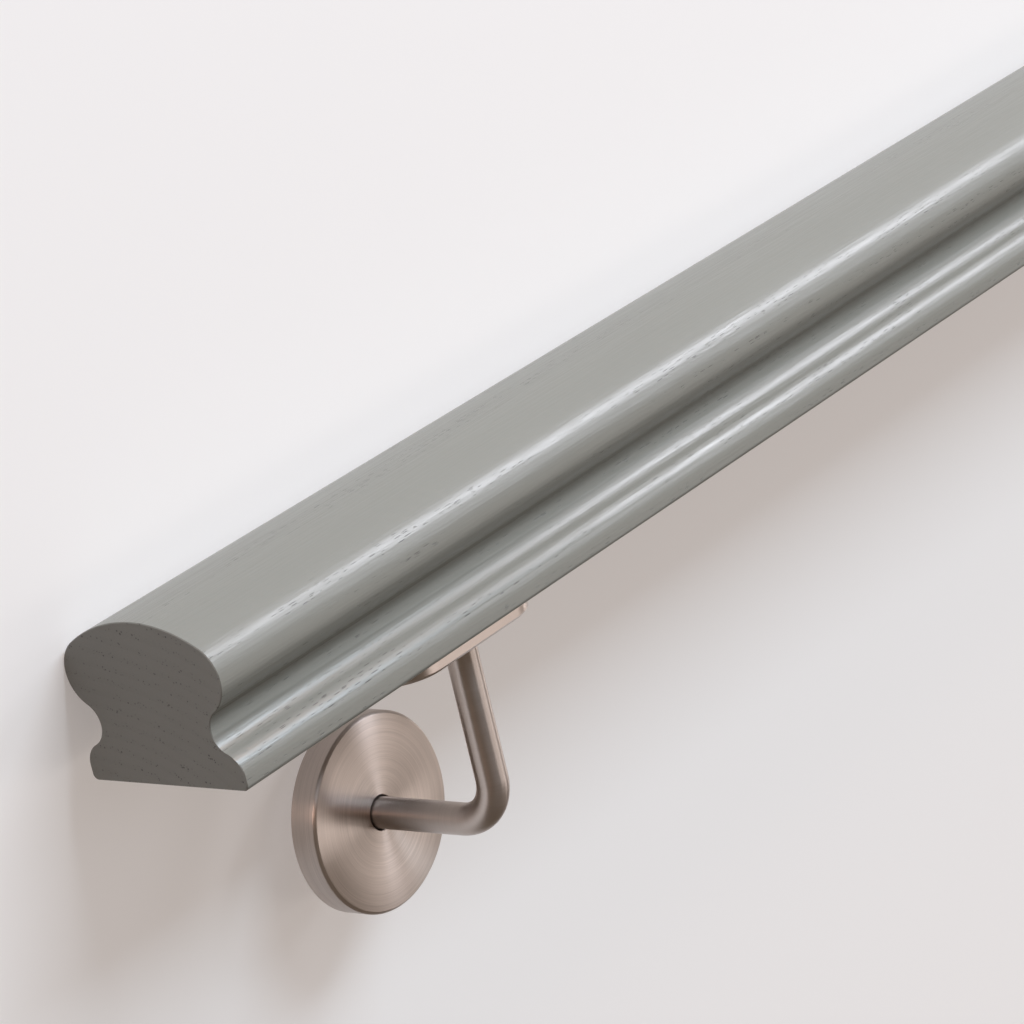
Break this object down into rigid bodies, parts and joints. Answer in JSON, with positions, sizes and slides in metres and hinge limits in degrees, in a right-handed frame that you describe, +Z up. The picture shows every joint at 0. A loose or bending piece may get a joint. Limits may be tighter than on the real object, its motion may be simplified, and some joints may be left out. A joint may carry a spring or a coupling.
{
  "type": "stair handrail length",
  "caption": "Painted timber mopstick-style stair handrail length on brushed steel wall brackets with round cover roses, gripped by hand beside a stair",
  "frame": {"origin": "On the floor, under the middle of the part's length and width, as it lies on its wall side.", "axes": "+X along the handrail from its lower end to its upper end, +Y towards the rail's crown, +Z up from the floor."},
  "size_m": [1.2, 0.1916, 0.0773],
  "materials": {
    "painted_ash": "satin grey-green paint over open-pored ash",
    "brushed_steel": "brushed"
  },
  "bodies": {
    "root": {"handrail": "painted_ash", "saddle_plate_1": "brushed_steel", "bracket_arm_1": "brushed_steel", "wall_flange_1": "brushed_steel", "cover_rose_1": "brushed_steel", "saddle_plate_2": "brushed_steel", "bracket_arm_2": "brushed_steel", "wall_flange_2": "brushed_steel", "cover_rose_2": "brushed_steel"}
  },
  "joints": []
}
